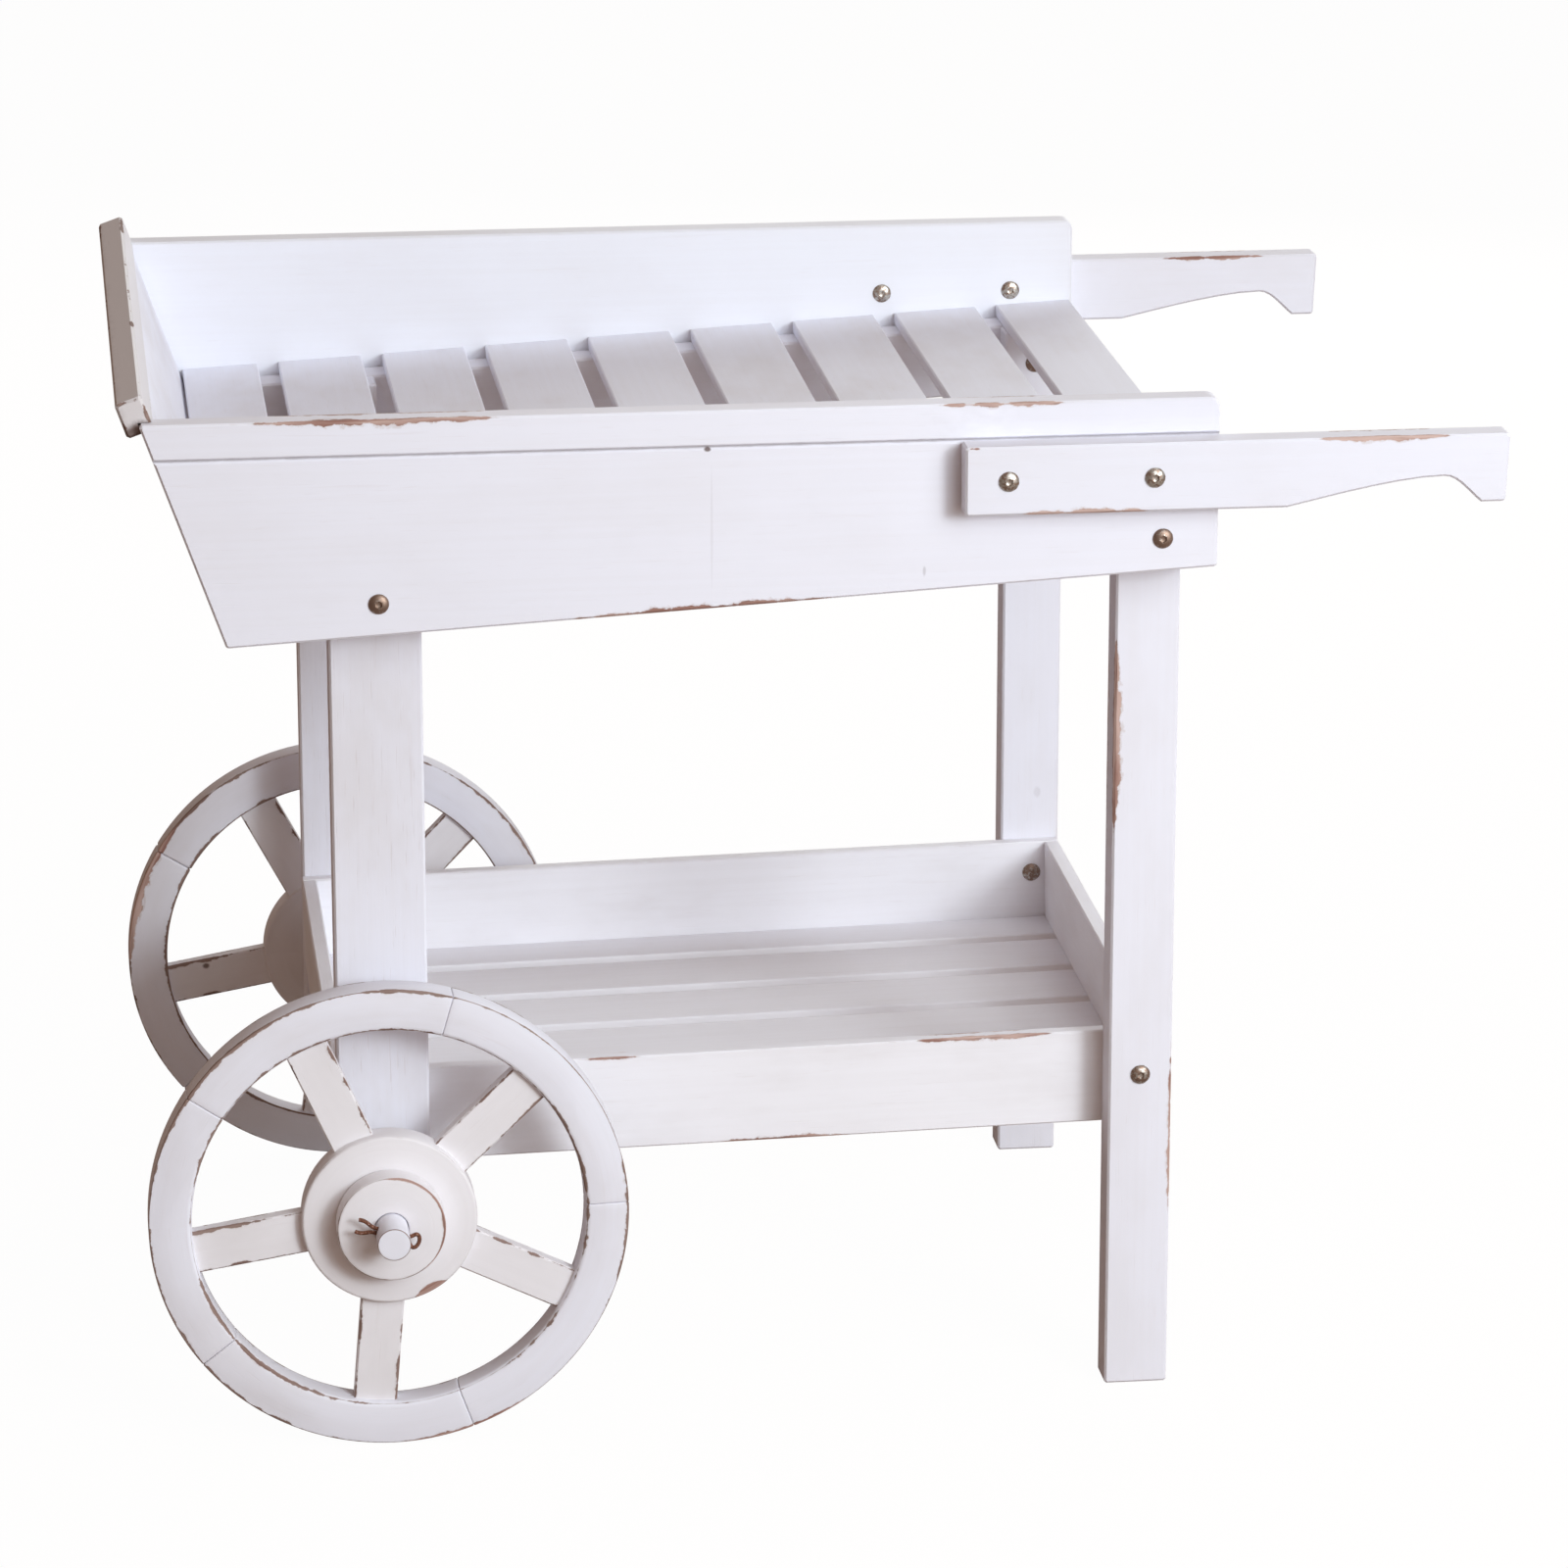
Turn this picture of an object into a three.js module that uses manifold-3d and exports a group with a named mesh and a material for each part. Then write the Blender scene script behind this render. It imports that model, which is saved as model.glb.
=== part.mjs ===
// Flower cart stand: a slatted display tray on two spoked wheels and two legs, with a lower slatted tray.
// Millimetres, +Z up. +X runs along the cart towards the handles, and -Y is the front.
// Pieces are set out from the wheel axle (x = 0, floor at z = 0); the finished cart is centred on the origin.

import * as THREE from 'three';
import { mergeVertices } from 'three/addons/utils/BufferGeometryUtils.js';
import Module from 'manifold-3d';

const wasm = await Module();
wasm.setup();

// ---------------------------------------------------------------- driving dimensions

const FIT = 0.3; // gap between pieces that meet at a cut or turned face
const EASE = 1.6; // how far the sharp edges of the boards are taken off
const FACETS = { rim: 72, hub: 48, dowel: 36, bolt: 16, hole: 12, pin: 8 }; // round work, divisible by 4

const legSpacing = 562; // wheel axle to the middle of the legs at the handle end
const trayHalfWidth = 334; // middle of the cart to the outer face of a tray side

const tray = {
  topHeight: 771.5,
  wheelEndTop: -165.5, // x of the top corner at the slanted end
  wheelEndBottom: -108, // x of the bottom corner at the slanted end
  handleEnd: 602, // x of the upright end
  bottomAtWheelEnd: 608.5,
  bottomAtHandleEnd: 647,
  thickness: 22,
  cornerRadius: 8,
  grooveDrop: 26.5, // top edge down to the glue-line groove
  grooveWidth: 3,
};
const floorSlat = { width: 66.5, thickness: 10, gap: 16.5, setBack: 2, topAboveEdge: 60 };
const ledger = { width: 33, height: 55 }; // its underside is a little below the tray sides'
const endPanel = { thickness: 7 };
const endRail = { thickness: 20, height: 26, proud: 11, shortOfSide: 9, topAboveSide: 13 };

const handle = {
  length: 393,
  lap: 186.5, // how far the handle runs along the tray side
  height: 50,
  thickness: 23,
  drop: { front: 0.3, back: 10.5 }, // below the groove; the back handle was fixed lower
  archStart: 232, // from the root end to where the grip starts to rise
  archCrest: 346,
  archRise: 19.6,
  hookLength: 20,
  lean: 2, // the end's bottom corner behind its top corner
  boltFromRoot: [31, 136],
  boltBelowGroove: { front: 25.5, back: 29.5 },
};

const handleLeg = { width: 47, depth: 31, boltHeight: 669 };
const wheelLeg = { width: 67, depth: 31, boltHeight: 638, belowAxle: 38 };

const lowerTray = {
  bottomAtWheelEnd: 188.4,
  tilt: THREE.MathUtils.degToRad(1.05),
  height: 71.5,
  sideThickness: 12,
  endThickness: 12,
  slatThickness: 8,
  slatWidth: 66.5,
  edgeSlatWidth: 47.5, // the slat against the back side is ripped narrower
  fullSlats: 5,
  rabbetDepth: 6, // how far the slats' ends run into the end boards
  boltHeight: 245,
};

const wheel = {
  radius: 175,
  rimDepth: 31.5, // outside to inside of the rim
  rimWidth: 24,
  rimInnerEase: 4, // the face's inner edge is taken off more than the others
  standOff: 53, // leg's outer face to the rim's outer face
  felloes: 5,
  jointAngle: { front: 1.8, back: 4.5 }, // degrees, first felloe joint
  jointGroove: 1.6,
  spokeAngles: { front: [43.5, 114, 189, 265, 334], back: [46, 118, 190, 262, 334] }, // degrees
  spokeWidth: 31.5,
  spokeThickness: 12,
  spokeSetBack: 6.5, // rim face to spoke face
  spokeTenon: 8, // into the rim
  spokeSocket: 16, // into the hub
};
const hub = { radius: 64, thickness: 23, proud: 2.5, ease: 2.5, bossRadius: 30, running: 0.6 };
const cap = { radius: 39.5, thickness: 20, edge: 3 };
const axle = { diameter: 24, bore: 25.2, past: 32, chamfer: 2.5, pinFromEnd: 21 };
const splitPin = {
  wire: 2.1,
  apart: 2.5, // middle to middle of its two legs
  eye: [3.2, 5.6], // half across and half along the oval eye
  eyeEnd: 20.2, // axle's middle to the eye's far end
  length: 47,
  splay: 4.2,
  hole: 5.6,
  turn: 18, // degrees
};

const bolt = { head: 15, headHeight: 3.2, shank: 6, nutHeight: 2.6, socket: 4.6, socketDepth: 1.7, hole: 7.4 };

// ---------------------------------------------------------------- finishes

const finish = {
  board: new THREE.MeshStandardMaterial({ color: '#eceaf1', roughness: 0.62, metalness: 0 }),
  slat: new THREE.MeshStandardMaterial({ color: '#dcdae2', roughness: 0.7, metalness: 0 }),
  wheel: new THREE.MeshStandardMaterial({ color: '#e6e3e9', roughness: 0.62, metalness: 0 }),
  bolt: new THREE.MeshStandardMaterial({ color: '#80766e', roughness: 0.36, metalness: 0.85 }),
  pin: new THREE.MeshStandardMaterial({ color: '#5b3a2a', roughness: 0.75, metalness: 0.5 }),
};

// ---------------------------------------------------------------- solids: cutting and joining

/** A closed three.js geometry as a solid that can be cut. */
function toSolid(geometry) {
  const bare = geometry.clone();
  bare.deleteAttribute('normal');
  bare.deleteAttribute('uv');
  const merged = mergeVertices(bare, 1e-4);
  return new wasm.Manifold(
    new wasm.Mesh({
      numProp: 3,
      vertProperties: new Float32Array(merged.attributes.position.array),
      triVerts: new Uint32Array(merged.index.array),
    }),
  );
}

/** A cut solid as a three.js geometry with flat faces. */
function toGeometry(solid) {
  const mesh = solid.getMesh();
  const geometry = new THREE.BufferGeometry();
  geometry.setAttribute('position', new THREE.BufferAttribute(mesh.vertProperties, 3));
  geometry.setIndex(new THREE.BufferAttribute(mesh.triVerts, 1));
  const flat = geometry.toNonIndexed();
  flat.computeVertexNormals();
  return flat;
}

function cutAway(geometry, tools) {
  const rest = tools.reduce((solid, tool) => solid.subtract(toSolid(tool)), toSolid(geometry));
  return toGeometry(rest);
}

// ---------------------------------------------------------------- shapes

/** A closed outline through corner points. A corner is taken off by `ease`, more where it is sharper, or by its own
 * third value, which rounds it when it is large. */
function cornerOutline(corners, ease = EASE) {
  const shape = new THREE.Shape();
  corners.forEach(([x, y, own], i) => {
    const corner = new THREE.Vector2(x, y);
    const back = new THREE.Vector2(...corners.at(i - 1).slice(0, 2)).sub(corner).normalize();
    const on = new THREE.Vector2(...corners[(i + 1) % corners.length].slice(0, 2)).sub(corner).normalize();
    const cut = own ?? ease / (1 - back.dot(on));
    const from = corner.clone().addScaledVector(back, cut);
    const to = corner.clone().addScaledVector(on, cut);
    if (i === 0) shape.moveTo(from.x, from.y);
    else shape.lineTo(from.x, from.y);
    if (own) shape.quadraticCurveTo(x, y, to.x, to.y);
    else shape.lineTo(to.x, to.y);
  });
  shape.closePath();
  return shape;
}

/** A board cut to an outline in the XZ plane, its thickness centred on y = 0 and its edges eased. */
function plank(shape, thickness, ease = EASE, curveSegments = 6) {
  const geometry = new THREE.ExtrudeGeometry(shape, {
    depth: thickness - 2 * ease,
    bevelEnabled: true,
    bevelThickness: ease,
    bevelSize: ease,
    bevelOffset: -ease,
    bevelSegments: 1,
    curveSegments,
  });
  geometry.translate(0, 0, ease - thickness / 2);
  geometry.rotateX(Math.PI / 2);
  return geometry;
}

/** A straight piece of timber centred on the origin, all its edges eased. */
function timber(sizeX, sizeY, sizeZ, ease = EASE) {
  const x = sizeX / 2;
  const z = sizeZ / 2;
  return plank(cornerOutline([[-x, -z], [x, -z], [x, z], [-x, z]], ease), sizeY, ease);
}

/** A straight-sided block whose outline is given in the XZ plane, centred on y = 0. */
function prism(corners, depth) {
  const shape = new THREE.Shape(corners.map(([x, z]) => new THREE.Vector2(x, z)));
  const geometry = new THREE.ExtrudeGeometry(shape, { depth, bevelEnabled: false });
  return geometry.translate(0, 0, -depth / 2).rotateX(Math.PI / 2);
}

/** A drill along Y, whose flats clear a round of the given diameter. */
function drillAt(x, z, diameter, length, sides = FACETS.hole) {
  const radius = diameter / 2 / Math.cos(Math.PI / sides);
  return new THREE.CylinderGeometry(radius, radius, length, sides).translate(x, 0, z);
}

/** Turned work about the Y axis from [radius, y] corners that close on themselves; `facing` -1 mirrors it in y. */
function turned(profile, segments, facing = 1) {
  const points = [...profile, profile[0]].map(([r, y]) => new THREE.Vector2(r, facing * y));
  return new THREE.LatheGeometry(facing < 0 ? points.reverse() : points, segments);
}

function piece(name, geometry, material, position = [0, 0, 0], turn = 0) {
  const mesh = new THREE.Mesh(geometry, material);
  mesh.name = name;
  mesh.position.set(...position);
  mesh.rotation.y = turn;
  return mesh;
}

// ---------------------------------------------------------------- lines that several pieces share

const sides = { front: -1, back: 1 };

const edgeSlope =
  (tray.bottomAtHandleEnd - tray.bottomAtWheelEnd) / (tray.handleEnd - tray.wheelEndBottom);
const edgeTilt = Math.atan(edgeSlope);
const endLean = Math.atan(
  (tray.wheelEndBottom - tray.wheelEndTop) / (tray.topHeight - tray.bottomAtWheelEnd),
);

/** Height of a line parallel to the tray sides' bottom edge, `rise` above it. */
const aboveEdge = (x, rise) =>
  tray.bottomAtWheelEnd + (x - tray.wheelEndBottom) * edgeSlope + rise / Math.cos(edgeTilt);

/** x of the slanted end's plane at a height, moved inwards along its normal. */
const slantedEnd = (z, inwards = 0) =>
  tray.wheelEndBottom - (z - tray.bottomAtWheelEnd) * Math.tan(endLean) + inwards / Math.cos(endLean);

const railTop = tray.topHeight + endRail.topAboveSide; // its outer top corner
const sideInner = trayHalfWidth - tray.thickness;
const legOuter = sideInner - ledger.width;
const rimFront = legOuter + wheel.standOff;
const legInner = { handle: legOuter - handleLeg.depth, wheel: legOuter - wheelLeg.depth };
const lowerSideOuter = Math.min(legInner.handle, legInner.wheel);
const slatUnderside = floorSlat.topAboveEdge - floorSlat.thickness;
const grooveHeight = tray.topHeight - tray.grooveDrop;
const axleHeight = wheel.radius;

const legEdges = {
  wheelEnd: -wheelLeg.width / 2,
  handleEnd: legSpacing + handleLeg.width / 2,
};
const handleRoot = tray.handleEnd - handle.lap;

/** Every bolt in the tray sides: where it goes through and which pieces it holds. */
const handleBolts = handle.boltFromRoot.map((along) => handleRoot + along);

// ---------------------------------------------------------------- upper tray

function traySide(name, sign) {
  const shape = cornerOutline([
    [tray.wheelEndBottom, tray.bottomAtWheelEnd],
    [tray.handleEnd, tray.bottomAtHandleEnd],
    [tray.handleEnd, tray.topHeight, tray.cornerRadius],
    [tray.wheelEndTop, tray.topHeight],
  ]);
  const groove = new THREE.BoxGeometry(2 * tray.handleEnd, tray.grooveWidth, tray.grooveWidth)
    .rotateX(Math.PI / 4)
    .translate(0, (sign * tray.thickness) / 2, grooveHeight);
  const side = sign < 0 ? 'front' : 'back';
  const boltHeight = grooveHeight - handle.boltBelowGroove[side];
  const through = 2 * tray.thickness;
  const holes = [
    ...handleBolts.map((x) => drillAt(x, boltHeight, bolt.hole, through)),
    drillAt(legSpacing, handleLeg.boltHeight, bolt.hole, through),
    drillAt(0, wheelLeg.boltHeight, bolt.hole, through),
  ];
  const geometry = cutAway(plank(shape, tray.thickness), [groove, ...holes]);
  return piece(name, geometry, finish.board, [0, sign * (trayHalfWidth - tray.thickness / 2), 0]);
}

/** The rail under the slats' ends, between a tray side and the legs. */
function trayLedger(name, sign) {
  const top = slatUnderside - FIT;
  const bottom = top - ledger.height;
  const endAt = tray.handleEnd - floorSlat.setBack;
  const startAt = (rise) => slantedEnd(aboveEdge(tray.wheelEndBottom, rise), endPanel.thickness + FIT);
  const shape = cornerOutline([
    [startAt(bottom), aboveEdge(startAt(bottom), bottom)],
    [endAt, aboveEdge(endAt, bottom)],
    [endAt, aboveEdge(endAt, top)],
    [startAt(top), aboveEdge(startAt(top), top)],
  ]);
  const holes = [
    drillAt(legSpacing, handleLeg.boltHeight, bolt.hole, 2 * ledger.width),
    drillAt(0, wheelLeg.boltHeight, bolt.hole, 2 * ledger.width),
  ];
  const geometry = cutAway(plank(shape, ledger.width), holes);
  return piece(name, geometry, finish.slat, [0, sign * (sideInner - ledger.width / 2), 0]);
}

/** Cross slats of the tray floor; the first and last are ripped to fill the length evenly. */
function floorSlats() {
  const pitch = floorSlat.width + floorSlat.gap;
  const underStart = aboveEdge(tray.wheelEndBottom, slatUnderside);
  const start = slantedEnd(underStart, endPanel.thickness + FIT);
  const end = tray.handleEnd - floorSlat.setBack;
  const count = Math.ceil((end - start + floorSlat.gap) / pitch);
  const overrun = count * pitch - floorSlat.gap - (end - start);
  const middle = slatUnderside + floorSlat.thickness / 2;
  return Array.from({ length: count }, (_, i) => {
    const left = Math.max(start, start - overrun / 2 + i * pitch);
    const right = Math.min(end, start - overrun / 2 + i * pitch + floorSlat.width);
    const x = (left + right) / 2;
    return piece(
      `floor_slat_${i + 1}`,
      timber(right - left, 2 * (sideInner - FIT), floorSlat.thickness, 1),
      finish.slat,
      [x, 0, aboveEdge(x, middle)],
      -edgeTilt,
    );
  });
}

/** The leaning rail across the top of the slanted end, notched over the ends of the tray sides. */
function slantedEndRail() {
  const { thickness, height, proud } = endRail;
  const length = 2 * (trayHalfWidth - endRail.shortOfSide);
  const centre = {
    x: slantedEnd(railTop, -proud) + (thickness * Math.cos(endLean) + height * Math.sin(endLean)) / 2,
    z: railTop + (thickness * Math.sin(endLean) - height * Math.cos(endLean)) / 2,
  };
  const top = tray.topHeight + FIT;
  const below = top - 2 * height;
  const inside = slantedEnd(top) + 3 * thickness;
  const sideCorner = [
    [slantedEnd(below, -FIT), below], [inside, below], [inside, top], [slantedEnd(top, -FIT), top],
  ];
  const notch = (sign) =>
    prism(sideCorner, 2 * (trayHalfWidth - sideInner))
      .translate(-centre.x, sign * (trayHalfWidth - FIT), -centre.z)
      .rotateY(endLean);
  const geometry = cutAway(timber(thickness, length, height, 2), [notch(1), notch(-1)]);
  return piece('end_rail', geometry, finish.board, [centre.x, 0, centre.z], -endLean);
}

/** The thin board that closes the slanted end, from the sides' bottom corners up to the rail. */
function slantedEndPanel() {
  const middle = endPanel.thickness / 2;
  const railUnder = railTop - endRail.height * Math.cos(endLean) + (endRail.proud + middle) * Math.sin(endLean);
  const top = railUnder - FIT;
  const bottom = tray.bottomAtWheelEnd + endPanel.thickness;
  const z = (top + bottom) / 2;
  const board = timber(endPanel.thickness, 2 * (sideInner - FIT), (top - bottom) / Math.cos(endLean), 1);
  return piece('end_panel', board, finish.board, [slantedEnd(z, middle), 0, z], -endLean);
}

// ---------------------------------------------------------------- handles

function handleBoard(name, sign) {
  const side = sign < 0 ? 'front' : 'back';
  const { length, height, archStart, archCrest, archRise, hookLength, lean } = handle;
  const hookStart = length - hookLength;
  const span = archCrest - archStart;
  const fall = hookStart - archCrest;
  const crest = archRise - height;
  const round = 2 * EASE;
  const shape = new THREE.Shape();
  shape.moveTo(EASE, 0);
  shape.lineTo(0, -EASE);
  shape.lineTo(0, EASE - height);
  shape.lineTo(EASE, -height);
  shape.lineTo(archStart, -height);
  shape.bezierCurveTo(
    archStart + 0.2 * span, 0.25 * archRise - height,
    archStart + 0.7 * span, crest,
    archCrest, crest,
  );
  shape.bezierCurveTo(
    archCrest + 0.35 * fall, crest,
    archCrest + 0.65 * fall, 0.4 * archRise - height,
    hookStart, -height,
  );
  shape.lineTo(length - lean - round, -height);
  shape.quadraticCurveTo(length - lean, -height, length - lean, round - height);
  shape.lineTo(length, -round);
  shape.quadraticCurveTo(length, 0, length - round, 0);
  shape.closePath();
  const drop = handle.drop[side];
  const holes = handle.boltFromRoot.map((along) =>
    drillAt(along, drop - handle.boltBelowGroove[side], bolt.hole, 2 * handle.thickness),
  );
  const geometry = cutAway(plank(shape, handle.thickness, EASE, 7), holes);
  const y = sign * (trayHalfWidth + handle.thickness / 2);
  return piece(name, geometry, finish.board, [handleRoot, y, grooveHeight - drop]);
}

// ---------------------------------------------------------------- legs

/** A leg whose top is cut to the slats and whose outer face meets the ledger. */
function leg(name, sign, { x, width, depth, bottom, holes }) {
  const top = slatUnderside - FIT;
  const left = x - width / 2;
  const right = x + width / 2;
  const shape = cornerOutline([
    [left, bottom],
    [right, bottom],
    [right, aboveEdge(right, top)],
    [left, aboveEdge(left, top)],
  ]);
  const geometry = cutAway(
    plank(shape, depth),
    holes.map(([z, diameter, facets]) => drillAt(x, z, diameter, 2 * depth, facets)),
  );
  return piece(name, geometry, finish.board, [0, sign * (legOuter - depth / 2), 0]);
}

const handleEndLeg = (name, sign) =>
  leg(name, sign, {
    x: legSpacing,
    ...handleLeg,
    bottom: 0,
    holes: [[handleLeg.boltHeight, bolt.hole], [lowerTray.boltHeight, bolt.hole]],
  });

const wheelEndLeg = (name, sign) =>
  leg(name, sign, {
    x: 0,
    ...wheelLeg,
    bottom: axleHeight - wheelLeg.belowAxle,
    holes: [[wheelLeg.boltHeight, bolt.hole], [axleHeight, axle.diameter + 2 * FIT, FACETS.dowel]],
  });

// ---------------------------------------------------------------- lower tray

/** The lower tray, set out from its bottom corner at the wheel end and tilted as one. */
function lowerTrayPieces() {
  const group = new THREE.Group();
  group.position.set(legEdges.wheelEnd, 0, lowerTray.bottomAtWheelEnd);
  group.rotation.y = -lowerTray.tilt;
  group.updateMatrixWorld();

  const length = (legEdges.handleEnd - legEdges.wheelEnd) / Math.cos(lowerTray.tilt);
  const { height, sideThickness, endThickness, slatThickness, rabbetDepth, fullSlats } = lowerTray;
  const inner = lowerSideOuter - sideThickness;
  const boltAt = group.worldToLocal(new THREE.Vector3(legSpacing, 0, lowerTray.boltHeight));

  for (const [side, sign] of Object.entries(sides)) {
    const board = timber(length, sideThickness, height, 1.2);
    const hole = drillAt(boltAt.x - length / 2, boltAt.z - height / 2, bolt.hole, 2 * sideThickness);
    const y = sign * (lowerSideOuter - sideThickness / 2);
    group.add(piece(`lower_side_${side}`, cutAway(board, [hole]), finish.board, [length / 2, y, height / 2]));
  }

  for (const [end, x, inwards] of [['wheel', endThickness / 2, 1], ['handle', length - endThickness / 2, -1]]) {
    const board = timber(endThickness, 2 * (inner - FIT), height, 1.2);
    const rabbet = new THREE.BoxGeometry(2 * rabbetDepth, 2 * lowerSideOuter, 2 * (slatThickness + FIT));
    rabbet.translate((inwards * endThickness) / 2, 0, -height / 2);
    group.add(piece(`lower_end_${end}`, cutAway(board, [rabbet]), finish.board, [x, 0, height / 2]));
  }

  const free = 2 * inner - FIT - lowerTray.edgeSlatWidth;
  const gap = (free - fullSlats * lowerTray.slatWidth) / (fullSlats + 1);
  const slatLength = length - 2 * (endThickness - rabbetDepth + FIT);
  let edge = inner - FIT;
  for (let i = 0; i <= fullSlats; i += 1) {
    const width = i === 0 ? lowerTray.edgeSlatWidth : lowerTray.slatWidth;
    const slat = timber(slatLength, width, slatThickness, 1);
    group.add(piece(`lower_slat_${i + 1}`, slat, finish.slat, [length / 2, edge - width / 2, slatThickness / 2]));
    edge -= width + gap;
  }
  return group;
}

// ---------------------------------------------------------------- wheels and axle

const rimInner = wheel.radius - wheel.rimDepth;
const spokeInner = hub.radius - wheel.spokeSocket;
const spokeOuter = rimInner + wheel.spokeTenon;

/** A spoke lying along its direction in the wheel; `clearance` makes the socket that takes it. */
function spokeBlank(angle, y, clearance = 0) {
  const length = spokeOuter - spokeInner + 2 * clearance;
  const size = [length, wheel.spokeThickness + 2 * clearance, wheel.spokeWidth + 2 * clearance];
  const blank = clearance ? new THREE.BoxGeometry(...size) : timber(...size, 1.2);
  blank.translate((spokeOuter + spokeInner) / 2, y, 0);
  return blank.rotateY(-angle);
}

/** One wheel about the Y axis through the origin; y = 0 is the rim's outer face and +y runs inwards. */
function cartWheel(side, sign) {
  const group = new THREE.Group();
  const facing = -sign;
  const spokeAngles = wheel.spokeAngles[side].map(THREE.MathUtils.degToRad);
  const spokeY = facing * (wheel.spokeSetBack + wheel.spokeThickness / 2);
  const sockets = spokeAngles.map((angle) => spokeBlank(angle, spokeY, FIT));

  const ease = 2;
  const ring = turned([
    [wheel.radius - ease, 0], [wheel.radius, ease], [wheel.radius, wheel.rimWidth - ease],
    [wheel.radius - ease, wheel.rimWidth], [rimInner + ease, wheel.rimWidth],
    [rimInner, wheel.rimWidth - ease], [rimInner, wheel.rimInnerEase], [rimInner + wheel.rimInnerEase, 0],
  ], FACETS.rim, facing);
  const joints = Array.from({ length: wheel.felloes }, (_, i) => {
    const angle = THREE.MathUtils.degToRad(wheel.jointAngle[side] + (i * 360) / wheel.felloes);
    const kerf = (y) =>
      new THREE.BoxGeometry(2 * wheel.rimDepth, wheel.jointGroove, wheel.jointGroove)
        .rotateX(Math.PI / 4)
        .translate(wheel.radius - wheel.rimDepth / 2, facing * y, 0)
        .rotateY(-angle);
    return [kerf(0), kerf(wheel.rimWidth)];
  }).flat();
  group.add(piece(`wheel_${side}_rim`, cutAway(ring, [...sockets, ...joints]), finish.wheel));

  spokeAngles.forEach((angle, i) => {
    group.add(piece(`wheel_${side}_spoke_${i + 1}`, spokeBlank(angle, spokeY), finish.wheel));
  });

  const bore = axle.bore / 2;
  const bossEnd = wheel.standOff - hub.running;
  const face = -hub.proud;
  const back = face + hub.thickness;
  const hubTurning = turned([
    [bore, face], [hub.radius - hub.ease, face], [hub.radius, face + hub.ease], [hub.radius, back - hub.ease],
    [hub.radius - hub.ease, back], [hub.bossRadius, back], [hub.bossRadius, bossEnd], [bore, bossEnd],
  ], FACETS.hub, facing);
  group.add(piece(`wheel_${side}_hub`, cutAway(hubTurning, sockets), finish.wheel));

  const capBack = face - FIT;
  const capFace = capBack - cap.thickness;
  const capTurning = turned([
    [bore, capFace], [cap.radius - cap.edge, capFace], [cap.radius - cap.edge / 3, capFace + cap.edge / 3],
    [cap.radius, capFace + cap.edge], [cap.radius, capBack], [bore, capBack],
  ], FACETS.hub, facing);
  group.add(piece(`wheel_${side}_cap`, capTurning, finish.wheel));

  group.position.set(0, sign * rimFront, axleHeight);
  return group;
}

const axleHalfLength = rimFront + hub.proud + FIT + cap.thickness + axle.past;
const pinTurn = THREE.MathUtils.degToRad(splitPin.turn);

function axleDowel() {
  const r = axle.diameter / 2;
  const end = axleHalfLength;
  const c = axle.chamfer;
  const profile = [[0, -end], [r - c, -end], [r, c - end], [r, end - c], [r - c, end], [0, end]];
  const dowel = new THREE.LatheGeometry(profile.map(([x, y]) => new THREE.Vector2(x, y)), FACETS.dowel);
  const pinHoles = Object.values(sides).map((sign) =>
    new THREE.CylinderGeometry(splitPin.hole / 2, splitPin.hole / 2, 2 * axle.diameter, FACETS.pin)
      .rotateZ(Math.PI / 2)
      .rotateY(pinTurn)
      .translate(0, sign * (end - axle.pinFromEnd), 0),
  );
  return piece('axle', cutAway(dowel, pinHoles), finish.wheel, [0, 0, axleHeight]);
}

/** A split pin bent from one wire: two legs side by side, an eye, and the leg ends splayed. */
function splitPinWire(name, sign) {
  const { apart, eye, eyeEnd, length, splay } = splitPin;
  const half = apart / 2;
  const eyeCentre = eyeEnd - eye[0];
  const legEnd = eyeEnd - length;
  const boreEnd = axle.diameter / 2 + 1;
  const legPoints = [
    [legEnd, splay], [(legEnd - boreEnd) / 2, splay * 0.55], [-boreEnd, half], [0, half], [boreEnd, half],
  ];
  const eyePoints = Array.from({ length: 9 }, (_, i) => {
    const a = THREE.MathUtils.degToRad(130 - i * 32.5);
    return [eyeCentre + eye[0] * Math.cos(a), eye[1] * Math.sin(a)];
  });
  const path = [...legPoints, ...eyePoints, ...legPoints.toReversed().map(([x, z]) => [x, -z])];
  const curve = new THREE.CatmullRomCurve3(path.map(([x, z]) => new THREE.Vector3(x, 0, z)));
  const section = new THREE.Shape().absarc(0, 0, splitPin.wire / 2, 0, 2 * Math.PI);
  const wire = new THREE.ExtrudeGeometry(section, { steps: 28, curveSegments: FACETS.pin / 2, extrudePath: curve });
  return piece(name, wire, finish.pin, [0, sign * (axleHalfLength - axle.pinFromEnd), axleHeight], pinTurn);
}

// ---------------------------------------------------------------- bolts

/** A domed connector bolt with its cap nut, screwed up over a grip; the head faces -y. */
function connectorBolt(grip) {
  const head = bolt.head / 2;
  const shank = bolt.shank / 2;
  const socketRadius = bolt.socket / 2 / Math.cos(Math.PI / 6);
  const profile = [
    [0, -bolt.headHeight], [head * 0.55, -bolt.headHeight], [head * 0.88, -bolt.headHeight * 0.55],
    [head, -FIT], [shank, -FIT], [shank, grip + FIT], [head, grip + FIT],
    [head * 0.85, grip + bolt.nutHeight * 0.7], [head * 0.5, grip + bolt.nutHeight], [0, grip + bolt.nutHeight],
  ];
  const body = new THREE.LatheGeometry(profile.map(([r, y]) => new THREE.Vector2(r, y)), FACETS.bolt);
  const socket = (y) => new THREE.CylinderGeometry(socketRadius, socketRadius, 2 * bolt.socketDepth, 6).translate(0, y, 0);
  return cutAway(body, [socket(-bolt.headHeight), socket(grip + bolt.nutHeight)]);
}

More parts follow.
